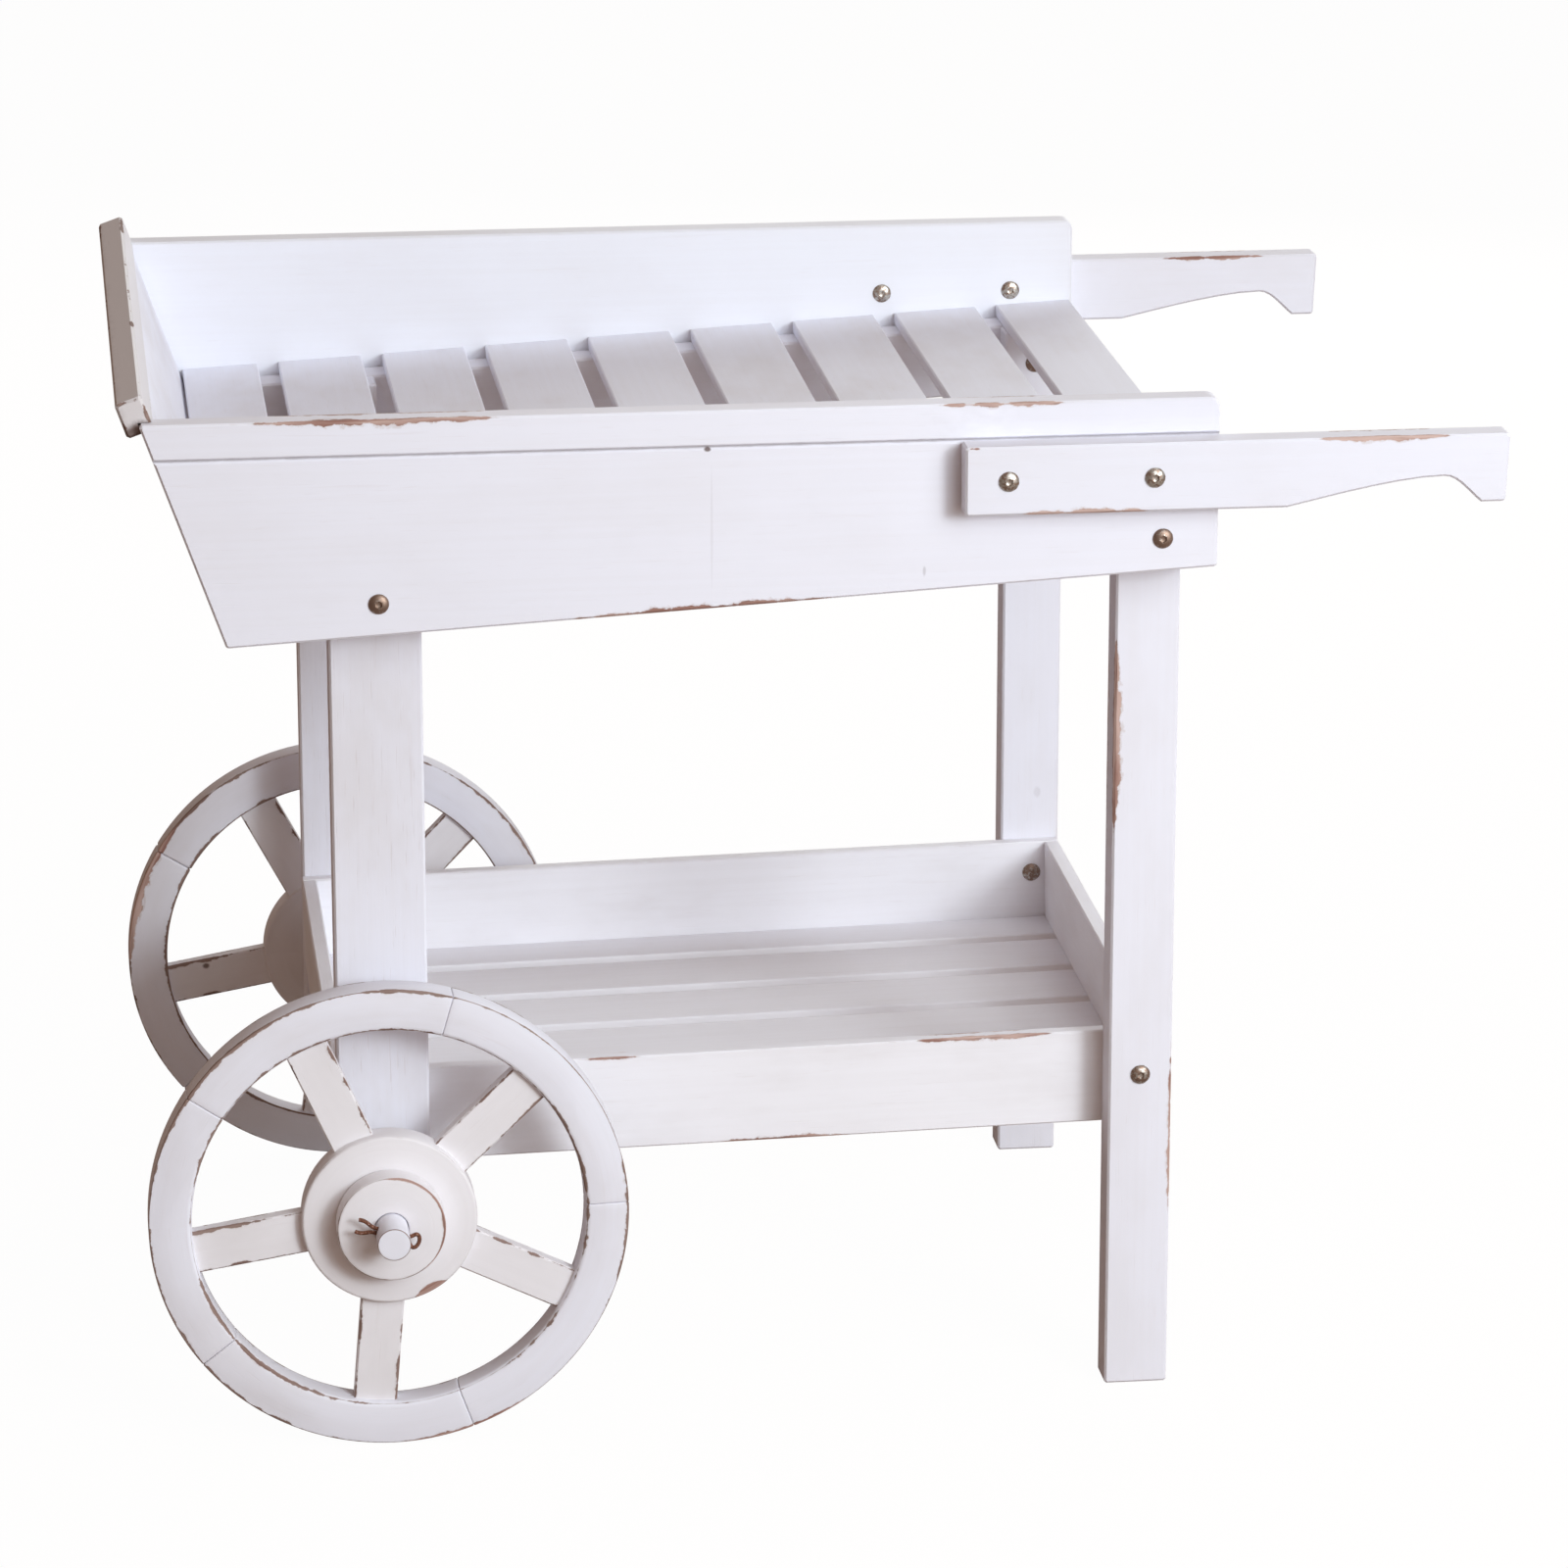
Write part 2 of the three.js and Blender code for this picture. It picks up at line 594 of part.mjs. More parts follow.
/** Bolt through from the outer face at `outer` to the inner face at `inner`, on either side of the cart. */
function boltThrough(name, sign, x, z, outer, inner) {
  const mesh = piece(name, connectorBolt(outer - inner), finish.bolt, [x, sign * outer, z]);
  if (sign > 0) mesh.rotation.z = Math.PI;
  return mesh;
}

function boltsOf(side, sign) {
  const handleOuter = trayHalfWidth + handle.thickness;
  const z = grooveHeight - handle.boltBelowGroove[side];
  return [
    ...handleBolts.map((x, i) => boltThrough(`handle_bolt_${side}_${i + 1}`, sign, x, z, handleOuter, sideInner)),
    boltThrough(`leg_bolt_${side}_handle_end`, sign, legSpacing, handleLeg.boltHeight, trayHalfWidth, legInner.handle),
    boltThrough(`leg_bolt_${side}_wheel_end`, sign, 0, wheelLeg.boltHeight, trayHalfWidth, legInner.wheel),
    boltThrough(`lower_bolt_${side}`, sign, legSpacing, lowerTray.boltHeight, legOuter, lowerSideOuter - lowerTray.sideThickness),
  ];
}

// ---------------------------------------------------------------- the cart

const cart = new THREE.Group();
cart.add(...floorSlats(), slantedEndRail(), slantedEndPanel(), lowerTrayPieces(), axleDowel());
for (const [side, sign] of Object.entries(sides)) {
  cart.add(
    traySide(`tray_side_${side}`, sign),
    trayLedger(`ledger_${side}`, sign),
    handleBoard(`handle_${side}`, sign),
    handleEndLeg(`leg_${side}_handle_end`, sign),
    wheelEndLeg(`leg_${side}_wheel_end`, sign),
    cartWheel(side, sign),
    splitPinWire(`split_pin_${side}`, sign),
    ...boltsOf(side, sign),
  );
}

const extent = new THREE.Box3().setFromObject(cart, true);
cart.position.x = -(extent.min.x + extent.max.x) / 2;

export default cart;
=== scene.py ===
"""The flower cart stand, dressed in worn white paint, with turned wheels and browned nickel bolts."""

import math

import bmesh
import bpy
from mathutils import Euler, Matrix, Vector


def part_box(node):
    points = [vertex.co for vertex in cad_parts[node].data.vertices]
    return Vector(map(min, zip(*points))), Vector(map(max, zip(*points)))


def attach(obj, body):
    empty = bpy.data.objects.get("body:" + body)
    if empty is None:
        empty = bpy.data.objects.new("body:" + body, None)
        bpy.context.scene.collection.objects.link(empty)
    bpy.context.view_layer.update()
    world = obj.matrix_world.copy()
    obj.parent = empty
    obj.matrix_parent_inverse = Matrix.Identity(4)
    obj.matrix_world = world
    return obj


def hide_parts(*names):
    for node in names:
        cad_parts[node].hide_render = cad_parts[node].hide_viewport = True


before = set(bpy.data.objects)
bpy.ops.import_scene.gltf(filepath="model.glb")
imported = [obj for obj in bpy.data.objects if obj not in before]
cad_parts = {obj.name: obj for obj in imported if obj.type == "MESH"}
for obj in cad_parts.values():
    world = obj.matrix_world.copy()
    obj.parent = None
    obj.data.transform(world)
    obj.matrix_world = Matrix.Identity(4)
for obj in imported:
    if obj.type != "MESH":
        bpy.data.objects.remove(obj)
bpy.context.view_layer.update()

MM = 0.001
SIDES = ("front", "back")


def srgb(red, green, blue):
    """An 8-bit screen colour as the linear colour that Blender's sockets take."""

    def linear(value):
        value /= 255
        return value / 12.92 if value <= 0.04045 else ((value + 0.055) / 1.055) ** 2.4

    return (linear(red), linear(green), linear(blue), 1.0)


# ------------------------------------------------------------ colours

PAINT = srgb(238, 238, 247)
PAINT_SOILED = srgb(219, 214, 215)
PAINT_THIN = srgb(206, 194, 192)
WOOD_PALE = srgb(206, 178, 168)
WOOD_PINK = srgb(152, 112, 100)
WOOD_DARK = srgb(92, 66, 56)
# dark wood on thin rubbed edges: dirt on the bare wood, and partly painted shade along the narrow edges
GRIME_AND_EDGE_SHADE = srgb(122, 103, 95)
# the floor slats' paint: lighter and bluer than PAINT, as painted light on their tops
SLAT = srgb(240, 242, 253)
# the lower tray's paint: whiter than PAINT, as painted light under the shade of the upper tray
WHITE = srgb(246, 245, 250)
CREAM = srgb(239, 236, 239)
# the handles' paint: a darker copy of PAINT, as painted shade so that their lit tops don't glare
HANDLE_PAINT_SHADE = srgb(233, 233, 242)
# the back side's paint: a little darker and less blue than PAINT, as painted shade
SHADED = srgb(236, 237, 244)
NICKEL = srgb(196, 192, 184)
NICKEL_BROWNED = srgb(132, 102, 84)
RUST = srgb(150, 98, 74)
RUST_DARK = srgb(92, 58, 45)
FLOOR = srgb(160, 140, 128)
GLOW = (1.0, 1.0, 1.0, 1.0)
ROOM = (0.25, 0.172, 0.128, 1.0)
DAYLIGHT = (0.87, 0.95, 1.0)


# ------------------------------------------------------------ shader maths


class Value:
    """A socket on its way through a material; sums on it add Math nodes."""

    def __init__(self, finish, socket):
        self.finish = finish
        self.socket = socket

    def maths(self, operation, *others):
        settings = {"operation": operation}
        return self.finish.node("ShaderNodeMath", settings, dict(enumerate((self, *others))))

    def __add__(self, other):
        return self.maths("ADD", other)

    __radd__ = __add__

    def __mul__(self, other):
        return self.maths("MULTIPLY", other)

    __rmul__ = __mul__

    def __sub__(self, other):
        return self.maths("SUBTRACT", other)

    def __rsub__(self, other):
        return self.finish.number(other).maths("SUBTRACT", self)

    def __pow__(self, other):
        return self.maths("POWER", other)

    def __abs__(self):
        return self.maths("ABSOLUTE")

    def low(self, other):
        return self.maths("MINIMUM", other)

    def high(self, other):
        return self.maths("MAXIMUM", other)

    def ramp(self, start, end, smooth=True):
        """0 at `start`, 1 at `end`; the two may be given in either order."""
        kind = "SMOOTHSTEP" if smooth else "LINEAR"
        low, high, to = (start, end, (0.0, 1.0)) if start <= end else (end, start, (1.0, 0.0))
        inputs = {"Value": self, "From Min": low, "From Max": high, "To Min": to[0], "To Max": to[1]}
        return self.finish.node("ShaderNodeMapRange", {"interpolation_type": kind}, inputs)


class Finish:
    """One material, built node by node."""

    def __init__(self, name):
        self.material = bpy.data.materials.new(name)
        self.material.use_nodes = True
        self.tree = self.material.node_tree
        self.tree.nodes.clear()
        self.position = self.node("ShaderNodeTexCoord", {}, {}, "Object")

    def node(self, kind, settings, inputs, output=0):
        """The one way to a node: its type, settings, values or links of its sockets, and which output."""
        made = self.tree.nodes.new(kind)
        for key, value in settings.items():
            setattr(made, key, value)
        for key, value in inputs.items():
            socket = made.inputs[key]
            if isinstance(value, Value):
                self.tree.links.new(value.socket, socket)
            else:
                socket.default_value = value
        return Value(self, made.outputs[output])

    def number(self, value):
        return self.node("ShaderNodeMath", {"operation": "ADD"}, {0: value, 1: 0.0})

    def mix(self, share, start, end):
        """Colour `start` where share is 0, `end` where it is 1."""
        return self.node("ShaderNodeMix", {"data_type": "RGBA"}, {0: share, 6: start, 7: end}, 2)

    def noise(self, place, scale, detail, rough, bend=0.0):
        inputs = {"Vector": place, "Scale": scale, "Detail": detail, "Roughness": rough}
        return self.node("ShaderNodeTexNoise", {}, {**inputs, "Distortion": bend})

    def stretched(self, place, stretch, offset):
        return self.node("ShaderNodeMapping", {}, {"Vector": place, "Scale": stretch, "Location": offset})

    def turned_to(self, centre, turn):
        """The position in a piece's own axes: from its centre, along its own directions."""
        inputs = {"Vector": self.position, "Location": centre, "Rotation": turn}
        return self.node("ShaderNodeMapping", {"vector_type": "TEXTURE"}, inputs)

    def axes(self, place):
        return [self.node("ShaderNodeSeparateXYZ", {}, {"Vector": place}, i) for i in range(3)]

    def vector(self, x, y, z):
        return self.node("ShaderNodeCombineXYZ", {}, {0: x, 1: y, 2: z})

    def distance(self, place, point, radii):
        """Distance from a point, in units of the given radii."""
        inputs = {"Vector": place, "Location": point, "Scale": radii}
        scaled = self.node("ShaderNodeMapping", {"vector_type": "TEXTURE"}, inputs)
        return self.node("ShaderNodeVectorMath", {"operation": "LENGTH"}, {0: scaled}, 1)

    def bump(self, height, depth, strength):
        inputs = {"Height": height, "Distance": depth, "Strength": strength}
        return self.node("ShaderNodeBump", {}, inputs)

    def surface(self, **inputs):
        """The finished material, from the shader's sockets, named with underscores for spaces."""
        names = {key.replace("_", " "): value for key, value in inputs.items()}
        return self.shown(self.node("ShaderNodeBsdfPrincipled", {}, names))

    def shown(self, shader):
        out = self.tree.nodes.new("ShaderNodeOutputMaterial")
        self.tree.links.new(shader.socket, out.inputs["Surface"])
        return self.material


# ------------------------------------------------------------ reading the frame


def node_box(name):
    low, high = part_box(name)
    return Vector(low), Vector(high)


def centre_of(name):
    low, high = node_box(name)
    return (low + high) / 2


def half_of(name):
    low, high = node_box(name)
    return (high - low) / 2


def dress(name, material):
    """A CAD node as it is, with a new material."""
    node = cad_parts[name]
    node.data.materials.clear()
    node.data.materials.append(material)


def fasten_to(piece, body, *nodes, slot):
    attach(piece, body)
    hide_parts(*nodes)
    return piece


AXLE = centre_of("axle")
AXLE_LOW, AXLE_HIGH = node_box("axle")
AXLE_RADIUS = (AXLE_HIGH.z - AXLE_LOW.z) / 2
RIM_LOW, RIM_HIGH = node_box("wheel_front_rim")
WHEEL_RADIUS = (RIM_HIGH.z - RIM_LOW.z) / 2
RIM_WIDTH = RIM_HIGH.y - RIM_LOW.y
RIM_DEPTH = 31.5 * MM
RIM_FACE = -RIM_LOW.y
HUB_LOW, HUB_HIGH = node_box("wheel_front_hub")
HUB_RADIUS = (HUB_HIGH.x - HUB_LOW.x) / 2
HUB_DISC = 23 * MM
BOSS_RADIUS = 30 * MM
BORE_RADIUS = 12.6 * MM
CAP_LOW, CAP_HIGH = node_box("wheel_front_cap")
CAP_RADIUS = (CAP_HIGH.x - CAP_LOW.x) / 2
SPOKE_HALF_WIDTH = 15.75 * MM
SPOKE_IN_HUB, SPOKE_IN_RIM = 16 * MM, 8 * MM
FELLOES = SPOKES = 5
FELLOE_ANGLE = 2 * math.pi / FELLOES
FIRST_JOINT = {"front": math.radians(1.8), "back": math.radians(4.5)}
PIN_TURN = math.radians(18)

# the tray sides' corners in millimetres, their heights from the ground and their places from the axle
TRAY_TOP, BOTTOM_AT_WHEELS, BOTTOM_AT_HANDLES = 771.5, 608.5, 647
TRAY_END, LEAN_FOOT, LEAN_TOP = 602, -108, -165.5
TRAY_HALF_HEIGHT = (TRAY_TOP - BOTTOM_AT_WHEELS) / 2
FLOOR_SLOPE = math.atan((BOTTOM_AT_HANDLES - BOTTOM_AT_WHEELS) / (TRAY_END - LEAN_FOOT))
END_LEAN = math.atan((LEAN_FOOT - LEAN_TOP) / (TRAY_TOP - BOTTOM_AT_WHEELS))
LOWER_TILT = math.radians(1.05)

# half sizes of the slanting boards, whose boxes don't give them
RAIL_HALF = (10 * MM, half_of("end_rail").y, 13 * MM)
PANEL_HALF = (3.5 * MM, half_of("end_panel").y, 79 * MM)
LEDGER_HALF = (half_of("tray_side_front").x - 20 * MM, 16.5 * MM, 27.5 * MM)
LOWER_HALF_THICK, LOWER_HALF_HIGH = 6 * MM, 35.75 * MM
LOWER_SIDE_HALF = (310 * MM, LOWER_HALF_THICK, LOWER_HALF_HIGH)
FLOOR_SLAT_HALF_THICK, LOWER_SLAT_HALF_THICK = 5 * MM, 4 * MM


# ------------------------------------------------------------ places of wear

# a spot reaches right through the thickest board
THROUGH = 100


def spot(along, up, length, width, amount):
    """A worn place right through a board, in millimetres from the board's middle, with its half sizes."""
    return (along * MM, 0, up * MM), (length * MM, THROUGH * MM, width * MM), amount


# where the paint has gone from an edge: centre, radii, depth. A place on a wheel is along the circle, from
# front to back, and from the axle.
CHIPS = {
    "tray_side_front": [
        spot(-205, TRAY_HALF_HEIGHT, 95, 20, 4 * MM),
        spot(-275, TRAY_HALF_HEIGHT, 50, 20, 1.5 * MM),
        spot(226, TRAY_HALF_HEIGHT, 60, 20, 2.6 * MM),
        spot(35, -60, 90, 25, 3.4 * MM),
        spot(-50, -66, 50, 20, 2 * MM),
    ],
    "handle_front": [
        spot(105, 25, 60, 12, 3.6 * MM),
        spot(-110, -25, 60, 12, 3.4 * MM),
        spot(-190, 22, 6, 8, 2 * MM),
    ],
    "handle_back": [spot(110, 25, 50, 12, 2.6 * MM)],
    "leg_front_handle_end": [spot(157, -24, 90, 20, 4.6 * MM), spot(-150, 24, 90, 20, 2.4 * MM)],
    "lower_side_front": [
        spot(172, 36, 60, 16, 2.6 * MM),
        spot(-104, 36, 32, 16, 1.3 * MM),
        spot(22, -36, 60, 16, 2.6 * MM),
    ],
    "wheel_front_rim": [((-0.2, -RIM_FACE, WHEEL_RADIUS), (0.05, 0.01, 0.01), 1.6 * MM)],
    "wheel_back_rim": [((0.45, RIM_FACE - RIM_WIDTH, WHEEL_RADIUS), (0.07, 0.012, 0.014), 4 * MM)],
    "wheel_front_hub": [((-0.0348, HUB_LOW.y, HUB_RADIUS), (0.0075, 0.02, 0.011), 8 * MM)],
    "wheel_front_cap": [((0.008, CAP_LOW.y, CAP_RADIUS), (0.03, 0.01, 0.008), 1.3 * MM)],
}

# what shows dark on a face, real marks and painted shade: centre, radii, share
MARKS_AND_SHADE = {
    "tray_side_front": [
        spot(15.7, 53.5, 3.5, 2.2, 0.85),
        spot(171, -40, 1.5, 4.5, 0.25),
        # painted shade: a dark line along the groove, the shade that falls in it
        spot(0, 55.3, 2000, 1.3, 0.4),
        spot(18.5, -5, 1.2, 55, 0.08),
        # painted shade: the top strip above the handle a little darker, against its glare
        spot(330, 70, 170, 30, 0.08),
    ],
    "leg_back_handle_end": [spot(-38, 6, 6, 4, 0.12)],
    "end_rail": [
        # painted shade over the rail's outer face, which faces away from the lights
        ((0, -0.016, 0), (2, 0.012, 0.05), 0.2),
        # painted shadow at the foot of the rail's near end, cast by the near tray side
        ((-RAIL_HALF[1], 0, -RAIL_HALF[2]), (0.012, 0.03, 0.012), 0.85),
    ],
    "wheel_back_spoke_3": [((0.012, 0, -0.01), (0.004, 0.05, 0.0035), 0.85)],
}


# ------------------------------------------------------------ finishes

# each pattern's repeats per metre along and across the grain, and its detail, roughness and distortion
PATTERNS = {
    "fibres": ((9.0, 160.0, 160.0), 5.0, 0.62, 0.25),
    "pores": ((30.0, 700.0, 700.0), 3.0, 0.6),
    "ragged": ((75.0, 110.0, 110.0), 6.0, 0.62),
    "cloud": ((6.0, 13.0, 13.0), 4.0, 0.6),
    "strokes": ((4.0, 230.0, 230.0), 2.0, 0.5),
}
SEED_STEPS = (0.37, 0.83, 0.19)


def median(a, b, c):
    """The middle one of three: on a face of a board, the distance from its nearest edge."""
    return a.low(b).high(a.high(b).low(c))


def worn_paint(finish, node, place, edge, seed, rub=0.4, line=0.08, grain=1.0, soil=0.3, cover=PAINT):
    """White paint on wood, with the chips, marks and painted shade of a CAD node.

    `place` has its x along the grain, and `edge` is the distance from the nearest edge. The edges are bare
    for `line` millimetres, and for up to `rub` more here and there. `grain` is how far the wood shows
    through, `soil` how much of the paint is soiled, and `cover` the paint's colour.
    """
    offset = [seed * step for step in SEED_STEPS]
    fibres, pores, ragged, cloud, strokes = (
        finish.noise(finish.stretched(place, stretch, offset), 1.0, *character)
        for stretch, *character in PATTERNS.values()
    )

    torn = ragged.ramp(0.34, 0.64, smooth=False)
    reach = (cloud + ragged * 0.5).ramp(0.68, 0.9) * (1.5 * rub * MM) + line * MM
    fresh = finish.number(0.0)
    for centre, radii, depth in CHIPS.get(node, ()):
        share = finish.distance(place, centre, radii).ramp(1.0, 0.4)
        reach = reach + share * depth
        fresh = fresh.high(share)
    reach = reach * (0.4 + torn * 0.8)
    bare = (reach - edge).ramp(-0.1 * MM, 0.3 * MM)
    thin = (reach * 1.35 - edge).ramp(-0.6 * MM, 0.9 * MM) * (1 - bare)

    wood = finish.mix(fibres.ramp(0.36, 0.64), WOOD_PINK, WOOD_PALE)
    wood = finish.mix(pores.ramp(0.56, 0.7) * 0.5, wood, WOOD_DARK)
    # bare edges away from the chips go dark: dirt on the wood, and partly painted shade along the narrow
    # edges
    wood = finish.mix((1 - fresh.ramp(0.0, 0.3)) * 0.72, wood, GRIME_AND_EDGE_SHADE)
    coat = finish.mix(cloud.ramp(0.42, 0.72) * soil, cover, PAINT_SOILED)
    coat = finish.mix(fibres.ramp(0.62, 0.74) * 0.11 * grain, coat, PAINT_THIN)
    coat = finish.mix(pores.ramp(0.62, 0.72) * 0.10 * grain, coat, PAINT_THIN)
    coat = finish.mix(strokes.ramp(0.35, 0.65) * 0.06, coat, PAINT_SOILED)
    coat = finish.mix(thin * 0.5, coat, PAINT_THIN)
    colour = finish.mix(bare, coat, wood)
    for centre, radii, share in MARKS_AND_SHADE.get(node, ()):
        away = finish.distance(place, centre, radii) + (ragged - 0.5) * 0.8
        colour = finish.mix(away.ramp(1.0, 0.45) * share, colour, WOOD_DARK)

    relief = fibres * 0.16 * grain - pores.ramp(0.6, 0.72) * 0.10 * grain
    normal = finish.bump((1 - bare) * 0.5 + strokes * 0.10 + relief, 0.5 * MM, 0.7)
    rough = 0.50 + cloud * 0.14 + bare * 0.22
    return finish.surface(Base_Color=colour, Roughness=rough, Normal=normal, Specular_IOR_Level=0.35)


def dress_board(name, turn, half, seed, ends=None, **wear):
    """A board in its paint, from its turn about Y in radians and its half sizes along its own axes.

    `ends` gives the distances from the edges of a board that isn't square, from its x and z.
    """
    finish = Finish(f"{name}_paint")
    local = finish.turned_to(centre_of(name), (0, turn, 0))
    x, y, z = finish.axes(local)
    from_x, from_y, from_z = half[0] - abs(x), half[1] - abs(y), half[2] - abs(z)
    if ends:
        from_x, from_z = ends(x, z)
    edge = median(from_x, from_y, from_z).high(0.0)
    longest = max(range(3), key=lambda i: half[i])
    if longest == 1:
        local = finish.vector(y, x, z)
    elif longest == 2:
        local = finish.vector(z, y, x)
    dress(name, worn_paint(finish, name, local, edge, seed, **wear))


def wheel_paint(node, radii, span, seed, **wear):
    """Paint for round work about the axle: `radii` are its inner and outer radius, `span` its two faces.

    Distances start a little inside the edges, because the modelled edges are rounded.
    """
    outer_round, inner_round = 0.5 * MM, 1.1 * MM
    finish = Finish(f"{node}_paint")
    local = finish.turned_to(AXLE, (0, 0, 0))
    x, y, z = finish.axes(local)
    radius = (x * x + z * z) ** 0.5
    inner, outer = radii
    from_face = abs((y - span[0]).low(span[1] - y))
    edge = abs(outer - radius).high(from_face) - outer_round
    if inner:
        edge = edge.low(abs(radius - inner).high(from_face) - inner_round)
    around = z.maths("ARCTAN2", x) * ((inner + outer) / 2)
    return worn_paint(finish, node, finish.vector(around, y, radius), edge, seed, **wear)


def browned_nickel(name, share):
    """The bolts' plating: bright where the dome is rubbed, brown for about `share` of its face."""
    finish = Finish(name)
    rub = finish.noise(finish.position, 420.0, 4.0, 0.6)
    spots = finish.noise(finish.position, 1500.0, 3.0, 0.6)
    browned = (rub + spots * 0.3 + (share - 0.5) * 0.3).ramp(0.56, 0.74)
    colour = finish.mix(browned * 0.85, NICKEL, NICKEL_BROWNED)
    rough = 0.26 + browned * 0.16 + spots * 0.1
    normal = finish.bump(rub, 0.05 * MM, 0.5)
    return finish.surface(Base_Color=colour, Metallic=0.9, Roughness=rough, Normal=normal)


def rusty_wire():
    """The split pins' wire: rust, with some of the paint left on it."""
    finish = Finish("rusty_wire")
    crust = finish.noise(finish.position, 700.0, 5.0, 0.65)
    colour = finish.mix(crust.ramp(0.4, 0.62), RUST_DARK, RUST)
    colour = finish.mix(crust.ramp(0.60, 0.66) * 0.7, colour, PAINT_SOILED)
    normal = finish.bump(crust, 0.2 * MM, 0.8)
    return finish.surface(Base_Color=colour, Metallic=0.35, Roughness=0.62 + crust * 0.2, Normal=normal)


# ------------------------------------------------------------ modelling by hand


def begin():
    """Nothing selected and object mode, ready for a new primitive."""
    if bpy.context.object and bpy.context.object.mode != "OBJECT":
        bpy.ops.object.mode_set(mode="OBJECT")
    bpy.ops.object.select_all(action="DESELECT")


def take(*pieces):
    """Only these pieces selected, the last one active."""
    begin()
    for piece in pieces:
        piece.select_set(True)
    bpy.context.view_layer.objects.active = pieces[-1]


def named(name):
    piece = bpy.context.object
    piece.name = name
    piece.data.name = name
    return piece


def settle(piece):
    """Puts the piece's place into its mesh, so that its object sits at the origin."""
    take(piece)
    bpy.ops.object.transform_apply(location=True, rotation=True, scale=True)
    return piece


def apply(piece, kind, **settings):
    take(piece)
    modifier = piece.modifiers.new(kind.lower(), kind)
    for key, value in settings.items():
        setattr(modifier, key, value)
    bpy.ops.object.modifier_apply(modifier=modifier.name)
    return piece


def edit(piece, action):
    """Edit mode with everything selected or deselected."""
    take(piece)
    bpy.ops.object.mode_set(mode="EDIT")
    bpy.ops.mesh.select_mode(type="FACE")
    bpy.ops.mesh.select_all(action=action)


def edit_faces(piece, pick):
    """Edit mode with the faces chosen by `pick(normal)` selected."""
    edit(piece, "DESELECT")
    mesh = bmesh.from_edit_mesh(piece.data)
    for face in mesh.faces:
        face.select_set(bool(pick(face.normal)))
    bmesh.update_edit_mesh(piece.data)


def done(piece):
    bpy.ops.object.mode_set(mode="OBJECT")
    return piece


def smooth(piece, angle=35):
    take(piece)
    bpy.ops.object.shade_smooth_by_angle(angle=math.radians(angle))
    return piece


def outwards(piece):
    edit(piece, "SELECT")
    bpy.ops.mesh.remove_doubles(threshold=0.01 * MM)
    bpy.ops.mesh.normals_make_consistent(inside=False)
    return done(piece)


def sawn(piece, place, across, fill=True, **cleared):
    """The piece cut along a plane, with one side of it taken away."""
    edit(piece, "SELECT")
    bpy.ops.mesh.bisect(plane_co=place, plane_no=across, use_fill=fill, **cleared)
    return done(piece)


def eased(piece, width, segments, sharper_than):
    """The piece with its edges rounded, wherever they turn by more than an angle in degrees."""
    limit = math.radians(sharper_than)
    return apply(piece, "BEVEL", width=width, segments=segments, limit_method="ANGLE", angle_limit=limit)


def drum(name, centre, radius, depth, vertices=96, turn=(math.pi / 2, 0, 0)):
    """A cylinder, along Y unless it is turned another way."""
    begin()
    bpy.ops.mesh.primitive_cylinder_add(
        vertices=vertices, radius=radius, depth=depth, location=centre, rotation=turn
    )
    return settle(named(name))


def hollowed(piece, tool):
    """The piece with the tool's shape taken out of it."""
    apply(piece, "BOOLEAN", object=tool, operation="DIFFERENCE", solver="EXACT")
    bpy.data.objects.remove(tool)
    return piece


def bored(piece, centre, radius, depth, vertices=48):
    return hollowed(piece, drum("bore", centre, radius, depth, vertices))


def copy_of(piece, name, place):
    """A copy with its own mesh, moved, turned or mirrored by a matrix."""
    made = piece.copy()
    made.data = piece.data.copy()
    made.name = name
    made.data.name = name
    bpy.context.scene.collection.objects.link(made)
    made.data.transform(place)
    if place.determinant() < 0:
        made.data.flip_normals()
    return made


def about_axle(angle):
    """A turn about the axle, anticlockwise as seen from the front."""
    return Matrix.Translation(AXLE) @ Matrix.Rotation(-angle, 4, "Y") @ Matrix.Translation(-AXLE)


# a front piece's place on each side
ON_SIDE = {"front": Matrix.Identity(4), "back": Matrix.Diagonal((1, -1, 1, 1))}


# ------------------------------------------------------------ the wheels


def front_felloe(first_joint):
    """One of the five curved boards of a front rim, cut from a ring at its two joints."""
    middle = Vector((AXLE.x, -RIM_FACE + RIM_WIDTH / 2, AXLE.z))
    ring = drum("felloe", middle, WHEEL_RADIUS, RIM_WIDTH, 160)
    bored(ring, middle, WHEEL_RADIUS - RIM_DEPTH, 2 * RIM_WIDTH, 160)
    gap = 0.12 * MM
    for angle, side in ((first_joint, -1), (first_joint + FELLOE_ANGLE, 1)):
        across = Vector((-math.sin(angle), 0, math.cos(angle)))
        sawn(ring, middle - across * side * gap, across, clear_inner=side < 0, clear_outer=side > 0)
    # a plane cuts the ring on both sides of the axle, and the half opposite the board goes as well
    inside = first_joint + FELLOE_ANGLE / 2
    sawn(ring, middle, Vector((math.cos(inside), 0, math.sin(inside))), fill=False, clear_inner=True)
    outwards(ring)
    round_inner_edge(ring, 4 * MM)
    return smooth(eased(ring, 1.8 * MM, 3, 40))


def round_inner_edge(felloe, width):
    """The face's inner edge is rounded more than the rest, where hands take hold of the wheel."""
    inner_radius = WHEEL_RADIUS - RIM_DEPTH

    def on_inner_edge(place):
        at_radius = math.hypot(place.x - AXLE.x, place.z - AXLE.z) < inner_radius + 0.2 * MM
        return at_radius and abs(place.y + RIM_FACE) < 0.1 * MM

    edit(felloe, "DESELECT")
    bpy.ops.mesh.select_mode(type="EDGE")
    mesh = bmesh.from_edit_mesh(felloe.data)
    for edge in mesh.edges:
        edge.select_set(all(on_inner_edge(vertex.co) for vertex in edge.verts))
    bmesh.update_edit_mesh(felloe.data)
    bpy.ops.mesh.bevel(offset=width, segments=4, affect="EDGES")
    bpy.ops.mesh.select_mode(type="FACE")
    done(felloe)


